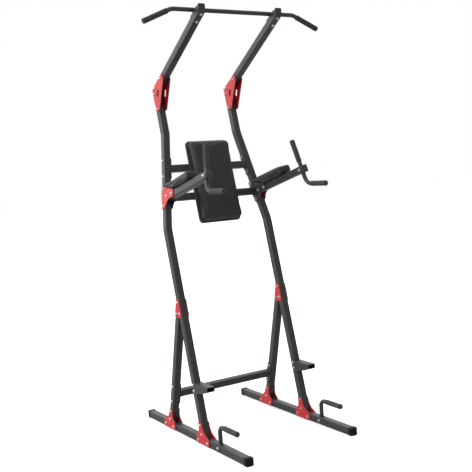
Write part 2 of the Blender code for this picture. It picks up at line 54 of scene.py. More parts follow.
HIGH_BEND = 1.634
REAR_FOOT_Y = 0.2492
REAR_LEAN = math.radians(14.76)
ARM_RISE = math.atan(0.636)
ARM_AT_AXIS = 2.0403
ARM_CUT_Y = -0.190
BAR_RADIUS = 0.011
GRIP_RADIUS = 0.0138
BAR_Y = -0.131
BAR_KINK = 0.360
BAR_TIP = 0.512
BAR_DROP = math.radians(23.2)
BAR_GRIP_FROM = 0.385
BAR_BOLT_REACH = 0.026
ARM_LEVEL = 1.2856
BACK_BAR_LEVEL = 1.4433
ARM_END = 0.466
HANDLE_AT = 0.444
HANDLE_UP = 0.157
HANDLE_CORNER = 0.077
DIP_TIP_Y = -0.412
PAD_FROM = 0.030
PAD_FLAT_FROM = 0.1235
PAD_REAR_LOW = 0.0518
PAD_TO = 0.312
PAD_HALF = 0.041
PAD_TOP = 0.0655
BACK_FROM = 1.127
BACK_TO = 1.587
BACK_HALF = 0.132
BACK_BOARD = 0.010
BACK_THICK = 0.045
LOW_BAR_LEVEL = 0.207
END_PLATE_HALF = 0.058
BOLT_REACH = 0.0435
STEP_Y = -0.190
STEP_HALF = HALF + GAP + 0.003
STEP_SHEET = 0.003
PUSH_Y = -0.254
PUSH_Z = 0.128
PUSH_TIP_Y = -0.417
SEAT_REACH = 0.040
HAND_GRIP_FROM = 0.044
DIP_GRIP_FROM = 0.040
PUSH_GRIP_FROM = 0.048
BRACKET_BOLTS = (0.044, 0.103)
STEP_BOLTS = (0.2985, 0.2695)
FOOT_PLATE_HALF = 0.0625
FOOT_PLATE_SIDE = 0.037      # height up to which the foot plate is full width
FOOT_BOLT_REACH = 0.045
FOOT_BOLTS = (0.100, 0.054)
REAR_LEG_LENGTH = 0.70

# radii of the bends
UPRIGHT_BEND = 0.11
BAR_BEND = 0.07
HANDLE_BEND = 0.045
PUSH_BEND = 0.032

X = Vector((1, 0, 0))
Y = Vector((0, 1, 0))
Z = Vector((0, 0, 1))
SIDES = (("left", -1), ("right", 1))
UP = Vector((0, math.sin(LEAN), math.cos(LEAN)))
OUT = Vector((0, -math.cos(LEAN), math.sin(LEAN)))
REAR_UP = Vector((0, -math.sin(REAR_LEAN), math.cos(REAR_LEAN)))
REAR_OUT = Vector((0, -math.cos(REAR_LEAN), -math.sin(REAR_LEAN)))
ARM_OUT = Vector((0, -math.cos(ARM_RISE), math.sin(ARM_RISE)))
ARM_UP = Vector((0, math.sin(ARM_RISE), math.cos(ARM_RISE)))
KINK = math.atan2(TRACK - NECK, HIGH_BEND - LOW_BEND)
KNEE_Z = (ARM_AT_AXIS - math.tan(ARM_RISE) * FOOT_Y) / (1 + math.tan(ARM_RISE) * math.tan(LEAN))
KNEE = Vector((0, FOOT_Y + math.tan(LEAN) * KNEE_Z, KNEE_Z))
MITRE = (UP + ARM_OUT).normalized()
FACE = HALF + GAP + PLATE


# ---- materials ------------------------------------------------------------
def shader_of(name):
    mat = bpy.data.materials.new(name)
    mat.use_nodes = True
    tree = mat.node_tree
    bsdf = tree.nodes["Principled BSDF"]
    place = tree.nodes.new("ShaderNodeTexCoord")
    return mat, tree, bsdf, place.outputs["Object"]


def noise_of(tree, where, scale, detail=3.0, rough=0.5):
    node = tree.nodes.new("ShaderNodeTexNoise")
    node.inputs["Scale"].default_value = scale
    node.inputs["Detail"].default_value = detail
    node.inputs["Roughness"].default_value = rough
    tree.links.new(where, node.inputs["Vector"])
    return node.outputs["Fac"]


def ramp_of(tree, value, stops):
    node = tree.nodes.new("ShaderNodeValToRGB")
    ramp = node.color_ramp
    while len(ramp.elements) < len(stops):
        ramp.elements.new(0.5)
    for element, (spot, colour) in zip(ramp.elements, stops):
        element.position = spot
        element.color = (*colour, 1.0)
    tree.links.new(value, node.inputs["Fac"])
    return node.outputs["Color"]


def grey(value):
    return (value, value, value)


def math_of(tree, operation, a, b):
    node = tree.nodes.new("ShaderNodeMath")
    node.operation = operation
    for socket, value in zip(node.inputs, (a, b)):
        if isinstance(value, (int, float)):
            socket.default_value = value
        else:
            tree.links.new(value, socket)
    return node.outputs[0]


def mix_of(tree, share, a, b):
    node = tree.nodes.new("ShaderNodeMix")
    node.data_type = "RGBA"
    tree.links.new(share, node.inputs["Factor"])
    for socket, value in ((node.inputs[6], a), (node.inputs[7], b)):
        if isinstance(value, tuple):
            socket.default_value = (*value, 1.0)
        else:
            tree.links.new(value, socket)
    return node.outputs[2]


def bump_of(tree, bsdf, height, strength, distance):
    node = tree.nodes.new("ShaderNodeBump")
    node.inputs["Strength"].default_value = strength
    node.inputs["Distance"].default_value = distance
    tree.links.new(height, node.inputs["Height"])
    tree.links.new(node.outputs["Normal"], bsdf.inputs["Normal"])


def worn_edges(tree):
    """White along convex edges, where a coat rubs thin."""
    geometry = tree.nodes.new("ShaderNodeNewGeometry")
    return ramp_of(tree, geometry.outputs["Pointiness"], ((0.52, grey(0)), (0.60, grey(1))))


def powder_coat(name, colour, worn, rough):
    mat, tree, bsdf, place = shader_of(name)
    broad = noise_of(tree, place, 7, 4, 0.6)
    dark = tuple(channel * 0.82 for channel in colour)
    light = tuple(min(1.0, channel * 1.16) for channel in colour)
    base = ramp_of(tree, broad, ((0.3, dark), (0.7, light)))
    scuffs = ramp_of(tree, noise_of(tree, place, 55, 5, 0.65), ((0.55, grey(0)), (0.78, grey(1))))
    wear = math_of(tree, "MULTIPLY", worn_edges(tree), scuffs)
    tree.links.new(mix_of(tree, wear, base, worn), bsdf.inputs["Base Color"])
    grain = noise_of(tree, place, 620, 2, 0.5)
    patches = noise_of(tree, place, 18, 3, 0.55)
    spread = math_of(tree, "MULTIPLY", math_of(tree, "ADD", grain, patches), 0.10)
    tree.links.new(math_of(tree, "ADD", spread, rough - 0.10), bsdf.inputs["Roughness"])
    bsdf.inputs["Specular IOR Level"].default_value = 0.35
    bump_of(tree, bsdf, grain, 0.15, 0.0002)
    return mat


def zinc(name):
    mat, tree, bsdf, place = shader_of(name)
    cloud = noise_of(tree, place, 160, 3, 0.6)
    tree.links.new(ramp_of(tree, cloud, ((0.3, (0.32, 0.32, 0.31)), (0.7, (0.48, 0.48, 0.47)))),
                   bsdf.inputs["Base Color"])
    tree.links.new(math_of(tree, "ADD", math_of(tree, "MULTIPLY", cloud, 0.22), 0.20),
                   bsdf.inputs["Roughness"])
    bsdf.inputs["Metallic"].default_value = 0.85
    bump_of(tree, bsdf, noise_of(tree, place, 900, 2, 0.5), 0.2, 0.0002)
    return mat


def moulded(name, colour, rough, gloss=0.15):
    mat, tree, bsdf, place = shader_of(name)
    tint = noise_of(tree, place, 30, 3, 0.5)
    tree.links.new(ramp_of(tree, tint, ((0.3, colour), (0.8, tuple(c * 1.6 for c in colour)))),
                   bsdf.inputs["Base Color"])
    grain = noise_of(tree, place, 1100, 2, 0.6)
    tree.links.new(math_of(tree, "ADD", math_of(tree, "MULTIPLY", grain, 0.16), rough - 0.08),
                   bsdf.inputs["Roughness"])
    bsdf.inputs["Specular IOR Level"].default_value = gloss
    bump_of(tree, bsdf, grain, 0.3, 0.0003)
    return mat


def foam(name):
    mat, tree, bsdf, place = shader_of(name)
    cell = tree.nodes.new("ShaderNodeTexVoronoi")
    cell.inputs["Scale"].default_value = 750
    tree.links.new(place, cell.inputs["Vector"])
    pores = cell.outputs["Distance"]
    tone = noise_of(tree, place, 26, 4, 0.6)
    # the pits of the pores, low in the bump, are painted darker: painted shade in the pits, added to the
    # random tone of the broad noise
    tone_and_pit_shade = math_of(tree, "MULTIPLY", tone, 0.75)
    tone_and_pit_shade = math_of(tree, "ADD", tone_and_pit_shade, math_of(tree, "MULTIPLY", pores, 0.35))
    tree.links.new(ramp_of(tree, tone_and_pit_shade, ((0.25, (0.012, 0.012, 0.013)), (0.8, (0.030, 0.030, 0.032)))),
                   bsdf.inputs["Base Color"])
    tree.links.new(math_of(tree, "ADD", math_of(tree, "MULTIPLY", tone, 0.18), 0.62),
                   bsdf.inputs["Roughness"])
    bsdf.inputs["Specular IOR Level"].default_value = 0.25
    bsdf.inputs["Sheen Weight"].default_value = 0.05
    bsdf.inputs["Sheen Roughness"].default_value = 0.5
    bump_of(tree, bsdf, pores, 0.45, 0.0006)
    return mat


def vinyl(name):
    mat, tree, bsdf, place = shader_of(name)
    warp = tree.nodes.new("ShaderNodeMixRGB")
    warp.blend_type = "ADD"
    warp.inputs[0].default_value = 0.0025
    tree.links.new(place, warp.inputs[1])
    wobble = tree.nodes.new("ShaderNodeTexNoise")
    wobble.inputs["Scale"].default_value = 240
    tree.links.new(place, wobble.inputs["Vector"])
    tree.links.new(wobble.outputs["Color"], warp.inputs[2])
    cell = tree.nodes.new("ShaderNodeTexVoronoi")
    cell.feature = "DISTANCE_TO_EDGE"
    cell.inputs["Scale"].default_value = 420
    tree.links.new(warp.outputs[0], cell.inputs["Vector"])
    pebble = ramp_of(tree, cell.outputs["Distance"], ((0.0, grey(0)), (0.22, grey(1))))
    broad = noise_of(tree, place, 14, 4, 0.6)
    # the grooves between the pebbles are painted darker than the pebble tops: painted shade in the
    # grooves; the broad noise is random tone
    tone = mix_of(tree, pebble, (0.005, 0.005, 0.006),
                  ramp_of(tree, broad, ((0.3, (0.010, 0.010, 0.011)), (0.75, (0.018, 0.018, 0.019)))))
    tree.links.new(tone, bsdf.inputs["Base Color"])
    tree.links.new(math_of(tree, "SUBTRACT", math_of(tree, "ADD", 0.46, math_of(
        tree, "MULTIPLY", broad, 0.16)), math_of(tree, "MULTIPLY", pebble, 0.10)),
        bsdf.inputs["Roughness"])
    bsdf.inputs["Specular IOR Level"].default_value = 0.35
    height = math_of(tree, "ADD", pebble, math_of(tree, "MULTIPLY", noise_of(
        tree, place, 60, 4, 0.6), 0.8))
    bump_of(tree, bsdf, height, 0.35, 0.0006)
    return mat


def plywood(name):
    mat, tree, bsdf, place = shader_of(name)
    stretch = tree.nodes.new("ShaderNodeMapping")
    stretch.inputs["Scale"].default_value = (60, 60, 4)
    tree.links.new(place, stretch.inputs["Vector"])
    grain = noise_of(tree, stretch.outputs["Vector"], 1.5, 5, 0.6)
    tree.links.new(ramp_of(tree, grain, ((0.3, (0.022, 0.020, 0.018)), (0.7, (0.050, 0.046, 0.042)))),
                   bsdf.inputs["Base Color"])
    tree.links.new(math_of(tree, "ADD", math_of(tree, "MULTIPLY", grain, 0.2), 0.6),
                   bsdf.inputs["Roughness"])
    bump_of(tree, bsdf, grain, 0.4, 0.0005)
    return mat


PAINT = powder_coat("graphite_powder_coat", (0.0185, 0.0200, 0.0225), (0.036, 0.037, 0.039), 0.42)
RED = powder_coat("red_powder_coat", (0.37, 0.008, 0.012), (0.38, 0.045, 0.045), 0.40)
ZINC = zinc("zinc_plate")
CAP = moulded("black_moulding", (0.003, 0.003, 0.0035), 0.5)
ARM_CAP = moulded("grey_moulding", (0.016, 0.0165, 0.0175), 0.45, 0.35)
THREAD = moulded("black_thread", (0.03, 0.03, 0.032), 0.6)
FOAM = foam("foam_rubber")
VINYL = vinyl("pebbled_vinyl")
PLY = plywood("stained_plywood")


# ---- shape tools ----------------------------------------------------------
def piece(name, mesh_data, mat, slot=None, nodes=(), smooth=35):
    bmesh.ops.recalc_face_normals(mesh_data, faces=mesh_data.faces[:])
    mesh = bpy.data.meshes.new(name)
    mesh_data.to_mesh(mesh)
    mesh_data.free()
    mesh.materials.append(mat)
    mesh.shade_smooth()
    mesh.set_sharp_from_angle(angle=math.radians(smooth))
    made = bpy.data.objects.new(name, mesh)
    bpy.context.scene.collection.objects.link(made)
    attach(made, "root")
    if nodes:
        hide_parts(*nodes)
    return made


def frame_of(origin, u, v):
    made = Matrix((u, v, u.cross(v))).transposed().to_4x4()
    made.translation = origin
    return made


def rounded(half_a, half_b, corner, steps=6):
    points = []
    for quarter, (a, b) in enumerate(((1, 1), (-1, 1), (-1, -1), (1, -1))):
        for k in range(steps + 1):
            angle = math.pi / 2 * (quarter + k / steps)
            points.append((a * (half_a - corner) + corner * math.cos(angle),
                           b * (half_b - corner) + corner * math.sin(angle)))
    return points


SQUARE = rounded(HALF, HALF, CORNER)


def circle(radius, count=40):
    return [(radius * math.cos(math.tau * i / count), radius * math.sin(math.tau * i / count))
            for i in range(count)]


def skin(mesh_data, rings, caps=True):
    rows = [[mesh_data.verts.new(place) for place in ring] for ring in rings]
    for lower, upper in zip(rows, rows[1:]):
        for j, vert in enumerate(lower):
            k = (j + 1) % len(lower)
            mesh_data.faces.new((vert, lower[k], upper[k], upper[j]))
    if caps:
        mesh_data.faces.new(rows[0][::-1])
        mesh_data.faces.new(rows[-1])


def filleted(corners, radius, steps=14):
    path = [corners[0]]
    for before, corner, after in zip(corners, corners[1:], corners[2:]):
        come = (corner - before).normalized()
        go = (after - corner).normalized()
        turn = come.angle(go)
        start = corner - come * radius * math.tan(turn / 2)
        inward = (go - come * come.dot(go)).normalized()
        for k in range(steps + 1):
            angle = turn * k / steps
            path.append(start + inward * radius * (1 - math.cos(angle))
                        + come * radius * math.sin(angle))
    path.append(corners[-1])
    return path


def sweep(mesh_data, path, depth, section, start=None, end=None):
    """Section swept along a flat path whose plane has the normal depth."""
    rings = []
    last = len(path) - 1
    for i, centre in enumerate(path):
        ahead = (path[min(i + 1, last)] - path[min(i, last - 1)]).normalized()
        behind = (path[max(i, 1)] - path[max(i - 1, 0)]).normalized()
        along = (ahead + behind).normalized()
        widen = 1 / math.cos(ahead.angle(behind) / 2)
        across = along.cross(depth).normalized()
        ring = [centre + across * a * widen + depth * b for a, b in section]
        for row, plane in ((0, start), (last, end)):
            if i == row and plane:
                point, normal = plane
                ring = [place + along * (point - place).dot(normal) / along.dot(normal)
                        for place in ring]
        rings.append(ring)
    skin(mesh_data, rings)


def stack(mesh_data, placement, layers):
    """Rounded rectangles (half a, half b, corner, height) piled along z."""
    skin(mesh_data, [[placement @ Vector((a, b, h)) for a, b in rounded(ha, hb, c)]
                     for ha, hb, c, h in layers])


def soft_box(mesh_data, placement, half_a, half_b, half_c, corner, edge=0.0008):
    stack(mesh_data, placement, (
        (half_a - edge, half_b - edge, corner - edge * 0.5, -half_c),
        (half_a, half_b, corner, edge - half_c),
        (half_a, half_b, corner, half_c - edge),
        (half_a - edge, half_b - edge, corner - edge * 0.5, half_c)))


def lathe(mesh_data, profile, placement, steps=40):
    rows = []
    for radius, height in profile:
        if radius < 1e-7:
            rows.append([mesh_data.verts.new(placement @ Vector((0, 0, height)))])
        else:
            rows.append([mesh_data.verts.new(placement @ Vector((a, b, height)))
                         for a, b in circle(radius, steps)])
    for lower, upper in zip(rows, rows[1:]):
        for j in range(steps):
            k = (j + 1) % steps
            ring = [lower[j % len(lower)], lower[k % len(lower)],
                    upper[k % len(upper)], upper[j % len(upper)]]
            mesh_data.faces.new(list(dict.fromkeys(ring)))


def inset(outline, distance):
    """Move a closed outline (anticlockwise) inwards."""
    count = len(outline)
    moved = []
    for i in range(count):
        before = Vector(outline[i]) - Vector(outline[i - 1])
        after = Vector(outline[(i + 1) % count]) - Vector(outline[i])
        tangent = (before.normalized() + after.normalized()).normalized()
        moved.append((outline[i][0] - tangent.y * distance, outline[i][1] + tangent.x * distance))
    return moved


def area_of(outline):
    return sum(a[0] * b[1] - b[0] * a[1] for a, b in zip(outline, outline[1:] + outline[:1])) / 2


def plate(mesh_data, outlines, placement, thickness, edge=0.0007):
    """Flat plate with eased edges; the outlines after the first are holes."""
    rims = {-1: [], 1: []}
    for index, outline in enumerate(outlines):
        outline = list(outline)
        if (area_of(outline) > 0) == bool(index):
            outline.reverse()
        tight = inset(outline, edge)
        rows = [[mesh_data.verts.new(placement @ Vector((a, b, h))) for a, b in shape]
                for shape, h in ((tight, -thickness / 2), (outline, edge - thickness / 2),
                                 (outline, thickness / 2 - edge), (tight, thickness / 2))]
        for lower, upper in zip(rows, rows[1:]):
            for j, vert in enumerate(lower):
                k = (j + 1) % len(lower)
                mesh_data.faces.new((vert, lower[k], upper[k], upper[j]))
        for sign, row in ((-1, rows[0]), (1, rows[-1])):
            rims[sign] += [mesh_data.edges.get((row[j], row[j - 1])) for j in range(len(row))]
    for rim in rims.values():
        bmesh.ops.triangle_fill(mesh_data, edges=rim, use_beauty=True)


def soft_corners(points, radius, steps=6):
    outline = []
    for i, point in enumerate(points):
        corner = Vector(point)
        before = Vector(points[i - 1]) - corner
        after = Vector(points[(i + 1) % len(points)]) - corner
        reach = min(radius, before.length * 0.45, after.length * 0.45)
        a = corner + before.normalized() * reach
        b = corner + after.normalized() * reach
        for k in range(steps + 1):
            t = k / steps
            outline.append(tuple(a * (1 - t) ** 2 + corner * 2 * t * (1 - t) + b * t ** 2))
    return outline


def weld_bead(mesh_data, loop, normal, radius=0.0022):
    """Rippled fillet of weld metal along a closed loop of points."""
    dense = []
    for a, b in zip(loop, loop[1:] + loop[:1]):
        pieces = max(1, round((b - a).length / 0.0018))
        dense += [a.lerp(b, k / pieces) for k in range(pieces)]
    rings = []
    for i, place in enumerate(dense):
        along = (dense[(i + 1) % len(dense)] - dense[i - 1]).normalized()
        side = along.cross(normal).normalized()
        size = radius * (1 + 0.16 * math.sin(i * 1.9) + 0.2 * noise.noise(place * 300))
        rings.append([place + side * a + normal * b for a, b in circle(size, 8)])
    rings.append(rings[0])
    skin(mesh_data, rings, caps=False)
    bmesh.ops.remove_doubles(mesh_data, verts=mesh_data.verts[:], dist=0.000001)


# fastener profiles: radius, and height above the face that the washer bears on
WASHER = ((0.0074, -0.0004), (0.0081, 0.0002), (0.0081, 0.0011), (0.0076, 0.0015), (0.0040, 0.0015))
DOMED_HEAD = ((0.0066, 0.0013), (0.0067, 0.0026), (0.0061, 0.0045), (0.0048, 0.0058),
              (0.0028, 0.0066), (0, 0.0068))
NUT = ((0.0052, 0.0013), (0.0064, 0.0019), (0.0064, 0.0056), (0.0056, 0.0062))
NUT_COLLAR = ((0.0056, 0.0058), (0.0054, 0.0074), (0.0034, 0.0076))
BOLT_END = ((0.0032, 0.0058), (0.0032, 0.0086), (0.0026, 0.0092), (0, 0.0092))
fasteners = {}


def bolt(group, centre, axis, kind="head"):
    """Domed head, or nut with its bolt's end, standing on a washer."""
    mesh_data = fasteners.setdefault(group, bmesh.new())
    axis = axis.normalized()
    u = axis.orthogonal().normalized()
    placement = frame_of(centre, u, axis.cross(u))
    lathe(mesh_data, WASHER, placement, 24)
    if kind == "head":
        lathe(mesh_data, DOMED_HEAD, placement, 24)
    else:
        lathe(mesh_data, NUT, placement, 6)
        lathe(mesh_data, NUT_COLLAR, placement, 20)
        lathe(mesh_data, BOLT_END, placement, 16)


def on_lean(x, along, out=0.0):
    return Vector((x, FOOT_Y, 0)) + UP * along + OUT * out


def half_width_at(along):
    share = (along - LOW_BEND) / (HIGH_BEND - LOW_BEND)
    return TRACK + (NECK - TRACK) * min(1.0, max(0.0, share))


def upright_line(z):
    return FOOT_Y + math.tan(LEAN) * z


def rear_line(z):
    return REAR_FOOT_Y - math.tan(REAR_LEAN) * z


def kinked(side):
    return (UP * math.cos(KINK) - X * side * math.sin(KINK),
            X * math.cos(KINK) + UP * side * math.sin(KINK))


# ---- floor beams, uprights, legs and top arms -----------------------------
BEAM_FACE = Vector((0, 0, BEAM_TOP + GAP))
for label, side in SIDES:
    x = side * TRACK
    beam = bmesh.new()
    ends = [Vector((x, sign * (BEAM_END - 0.0034), BEAM_Z)) for sign in (-1, 1)]
    sweep(beam, ends, X, SQUARE)
    piece("steel_floor_beam_" + label, beam, PAINT, "frame_paint", ["floor_beam_" + label])
    for where, sign in (("front", -1), ("rear", 1)):
        cap = bmesh.new()
        tip = Vector((x, sign * BEAM_END, BEAM_Z))
        inward = -Y * sign
        full = HALF + GAP + 0.0015
        stack(cap, frame_of(tip, X, inward.cross(X)), (
            (full - 0.0040, full - 0.0040, CORNER, 0.0), (full - 0.0016, full - 0.0016, CORNER, 0.0004),
            (full - 0.0004, full - 0.0004, CORNER + 0.001, 0.0014), (full, full, CORNER + 0.001, 0.0030),
            (full, full, CORNER + 0.001, 0.0222), (full - 0.0007, full - 0.0007, CORNER, 0.0230)))
        for h in (-0.009, 0.0, 0.009):
            rib = frame_of(tip + Z * h + inward * 0.0004, X, inward.cross(X))
            soft_box(cap, rib, 0.013, 0.0011, 0.0004, 0.0009, 0.0002)
        piece(f"{where}_beam_end_cap_{label}", cap, CAP, "end_cap", [f"{where}_beam_cap_{label}"])

    post = bmesh.new()
    corners = [on_lean(x, BEAM_TOP / math.cos(LEAN)), on_lean(x, LOW_BEND),
               on_lean(side * NECK, HIGH_BEND), KNEE + X * side * NECK]
    sweep(post, filleted(corners, UPRIGHT_BEND), OUT, SQUARE, (BEAM_FACE, Z),
          (KNEE - MITRE * GAP / 2, MITRE))
    piece("steel_upright_" + label, post, PAINT, "frame_paint", ["upright_" + label])

    leg = bmesh.new()
    foot = Vector((x, REAR_FOOT_Y, 0))
    sweep(leg, [foot + REAR_UP * BEAM_TOP, foot + REAR_UP * REAR_LEG_LENGTH], X, SQUARE,
          (BEAM_FACE, Z), (on_lean(0, REAR_LEG_LENGTH, -HALF - GAP), OUT))
    piece("steel_rear_leg_" + label, leg, PAINT, "frame_paint", ["rear_leg_" + label])

    arm = bmesh.new()
    root = KNEE + X * side * NECK
    sweep(arm, [root, root + ARM_OUT * 0.6], X, SQUARE, (KNEE + MITRE * GAP / 2, MITRE),
          (Vector((0, ARM_CUT_Y, 0)), Y))
    piece("steel_top_arm_" + label, arm, PAINT, "frame_paint", ["top_arm_" + label])
    cap = bmesh.new()
    tall = HALF / math.cos(ARM_RISE)
    tip = Vector((side * NECK, ARM_CUT_Y, ARM_AT_AXIS - math.tan(ARM_RISE) * ARM_CUT_Y))
    stack(cap, frame_of(tip, Z, X), (
        (tall, HALF, CORNER, -0.0002), (tall, HALF, CORNER, -0.0022),
        (tall - 0.0008, HALF - 0.0008, CORNER, -0.0031), (tall - 0.003, HALF - 0.003, CORNER, -0.0035)))
    piece("top_arm_end_cap_" + label, cap, ARM_CAP, "end_cap", ["top_arm_cap_" + label])


# ---- red joining plates ---------------------------------------------------
def side_plates(name, node, label, side, x, outlines, spots):
    for face, sign in (("inner", -1), ("outer", 1)):
        outward = X * side * sign
        mesh_data = bmesh.new()
        plate(mesh_data, outlines, frame_of(X * x + outward * (HALF + GAP + PLATE / 2), Y, Z), PLATE)
        piece(f"{face}_{name}_{label}", mesh_data, RED, "bracket_paint", [f"{face}_{node}_{label}"])
        for y, z in spots:
            bolt(name + "_bolts_" + label, X * x + outward * FACE + Y * y + Z * z, outward,
                 "nut" if face == "inner" else "head")


def foot_outline(line):
    middle = line(BEAM_Z)
    base = BEAM_Z - HALF + 0.003
    heights = (0.113, 0.094, 0.080, 0.066, 0.055, 0.046)
    flares = (0.0175, 0.0180, 0.0205, 0.027, 0.038, 0.053)
    front = [(line(z) - w, z) for z, w in zip(heights, flares)]
    back = [(line(z) + w, z) for z, w in zip(heights, flares)]
    skirt = [(middle - FOOT_PLATE_HALF, FOOT_PLATE_SIDE), (middle - FOOT_PLATE_HALF, base),
             (middle + FOOT_PLATE_HALF, base), (middle + FOOT_PLATE_HALF, FOOT_PLATE_SIDE)]
    return soft_corners(front + skirt + back[::-1], 0.006)


BRACE = ((0.047, 0.729), (0.076, 0.729), (0.083, 0.690), (0.094, 0.652), (0.093, 0.634),
         (0.024, 0.634), (0.0255, 0.646), (0.031, 0.668), (0.039, 0.702))
BRACE_BOLTS = ((0.060, 0.712), (0.077, 0.652), (0.043, 0.655))
GUSSET = ((0.2310, 1.9065), (0.216, 1.875), (0.246, 1.800), (0.279, 1.717), (0.317, 1.710),
          (0.335, 1.770), (0.3495, 1.8320), (0.2980, 1.8645))
GUSSET_BOLTS = ((0.2500, 1.8790), (0.3225, 1.8350), (0.3320, 1.8045), (0.3105, 1.7240))


def slot_outline(half_width=0.0075, half_length=0.019, count=14):
    outline = []
    turn = Matrix.Rotation(0.25, 2)
    for end, start in ((1, 0.0), (-1, math.pi)):
        for k in range(count + 1):
            angle = start + math.pi * k / count
            spot = Vector((half_width * math.cos(angle),
                           half_width * math.sin(angle) + end * (half_length - half_width)))
            outline.append(tuple(Vector((0.285, 1.806)) + turn @ spot))
    return outline


for label, side in SIDES:
    x = side * TRACK
    for where, line in (("front", upright_line), ("rear", rear_line)):
        middle = line(BEAM_Z)
        spots = [(line(z), z) for z in FOOT_BOLTS]
        spots += [(middle - FOOT_BOLT_REACH, BEAM_Z), (middle + FOOT_BOLT_REACH, BEAM_Z)]
        side_plates(where + "_foot", where + "_foot_plate", label, side, x,
                    [foot_outline(line)], spots)
    side_plates("brace", "brace_plate", label, side, x, [soft_corners(BRACE, 0.007)],
                BRACE_BOLTS)
    side_plates("gusset", "top_gusset", label, side, side * NECK,
                [soft_corners(GUSSET, 0.008), slot_outline()], GUSSET_BOLTS)


# ---- grips and round bars -------------------------------------------------
def grip(name, node, mouth, tip):
    """Foam sleeve with a rolled mouth and a domed, dimpled end."""
    length = (tip - mouth).length
    r = GRIP_RADIUS
    mesh_data = bmesh.new()
    profile = [(BAR_RADIUS - 0.0006, 0.0006), (r - 0.0012, 0.0), (r - 0.0003, 0.0007), (r, 0.0018)]
    count = 36
    for k in range(1, count):
        wave = 0.00022 * math.sin(k * 1.7) + 0.00015 * math.sin(k * 0.6 + 1)
        profile.append((r - 0.0003 + wave, 0.0018 + (length - 0.003) * k / count))
    profile += [(r, length - 0.0005), (r - 0.0004, length + 0.0016), (r - 0.0018, length + 0.0032),
                (r - 0.0050, length + 0.0043), (0.0050, length + 0.0044), (0.0042, length + 0.0036),
                (0, length + 0.0034)]
    along = (tip - mouth).normalized()
    u = along.orthogonal().normalized()
    lathe(mesh_data, profile, frame_of(mouth, u, along.cross(u)), 40)
    piece(name, mesh_data, FOAM, "foam_grip", [node], 50)


STAND = GAP + PLATE + BAR_RADIUS - 0.0006
seat_y = BAR_Y - STAND * math.sin(ARM_RISE)
SEAT = Vector((0, seat_y, ARM_AT_AXIS - math.tan(ARM_RISE) * seat_y + HALF / math.cos(ARM_RISE)))
BAR = SEAT + ARM_UP * STAND


def bar_point(x):
    drop = math.tan(BAR_DROP) * max(0.0, abs(x) - BAR_KINK)
    return BAR + Vector((x, 0, -drop))


bar = bmesh.new()
sweep(bar, filleted([bar_point(x) for x in (-BAR_TIP, -BAR_KINK, BAR_KINK, BAR_TIP)], BAR_BEND), Y,
      circle(BAR_RADIUS))
for label, side in SIDES:
    foot = SEAT + X * side * NECK
    seat = frame_of(foot + ARM_UP * (GAP + PLATE / 2), X, -ARM_OUT)
    soft_box(bar, seat, HALF - 0.001, SEAT_REACH, PLATE / 2, 0.004)
    soft_box(bar, frame_of(foot + ARM_UP * 0.0075, X, -ARM_OUT), 0.013, 0.008, 0.004, 0.0015)
    saddle = frame_of(foot + ARM_UP * (GAP + PLATE + 0.0006), X, -ARM_OUT)
    weld_bead(bar, [saddle @ Vector((a, b, 0)) for a, b in rounded(0.0145, 0.0095, 0.003, 3)],
              ARM_UP)
    for sign in (-1, 1):
        spot = foot + ARM_OUT * sign * BAR_BOLT_REACH
        bolt("pull_up_bar_bolts_" + label, spot + ARM_UP * (GAP + PLATE), ARM_UP, "nut")
        bolt("pull_up_bar_bolts_" + label, spot - ARM_UP * TUBE, -ARM_UP)
    grip("pull_up_foam_" + label, "pull_up_grip_" + label, bar_point(side * BAR_GRIP_FROM),
         bar_point(side * BAR_TIP))
piece("bent_pull_up_bar", bar, PAINT, "frame_paint", ["pull_up_bar"])


# ---- crossbars ------------------------------------------------------------
def crossbar(name, node, centre, up, out, half_span, tilt, stand):
    mesh_data = bmesh.new()
    planes = []
    for side in (-1, 1):
        away = X * side * math.cos(tilt) + up * math.sin(tilt)
        planes.append((centre + X * side * half_span - away * stand, away))
    shape = rounded(HALF - 0.003, HALF, CORNER)
    cuts = [(face - away * PLATE, away) for face, away in planes]
    sweep(mesh_data, [centre - X * half_span, centre + X * half_span], up, shape, *cuts)
    for face, away in planes:
        rise = out.cross(away).normalized()
        deep = away.cross(rise)
        soft_box(mesh_data, frame_of(face - away * PLATE / 2, rise, deep), END_PLATE_HALF,
                 HALF - 0.001, PLATE / 2, 0.006)
        weld = [face - away * (PLATE + 0.0006) + rise * b + deep * a
                for a, b in rounded(HALF - 0.0026, HALF + 0.0004, CORNER, 3)]
        weld_bead(mesh_data, weld, away, 0.0020)
        for sign in (-1, 1):
            bolt(name + "_bolts", face - away * PLATE + rise * sign * BOLT_REACH, -away, "nut")
    piece(name, mesh_data, PAINT, "frame_paint", [node])


low_centre = Vector((0, REAR_FOOT_Y, 0)) + REAR_UP * LOW_BAR_LEVEL
crossbar("rear_crossbar", "lower_crossbar", low_centre, REAR_UP, REAR_OUT, TRACK - HALF, 0.0, GAP)
for name, node, level, stand in (
        ("arm_level_crossbar", "lower_back_crossbar", ARM_LEVEL, 2 * GAP + PLATE),
        ("backrest_crossbar", "upper_back_crossbar", BACK_BAR_LEVEL, GAP)):
    reach = half_width_at(level) - HALF / math.cos(KINK)
    crossbar(name, node, on_lean(0, level), UP, OUT, reach, KINK, stand)
for label, side in SIDES:
    leg_spot = low_centre + X * side * (TRACK + HALF)
    up, across = kinked(side)
    post_spot = on_lean(side * half_width_at(BACK_BAR_LEVEL), BACK_BAR_LEVEL)
    post_spot += across * side * HALF
    for sign in (-1, 1):
        bolt("rear_crossbar_bolts", leg_spot + REAR_UP * sign * BOLT_REACH, X * side)
        bolt("backrest_crossbar_bolts", post_spot + up * sign * BOLT_REACH, across * side)


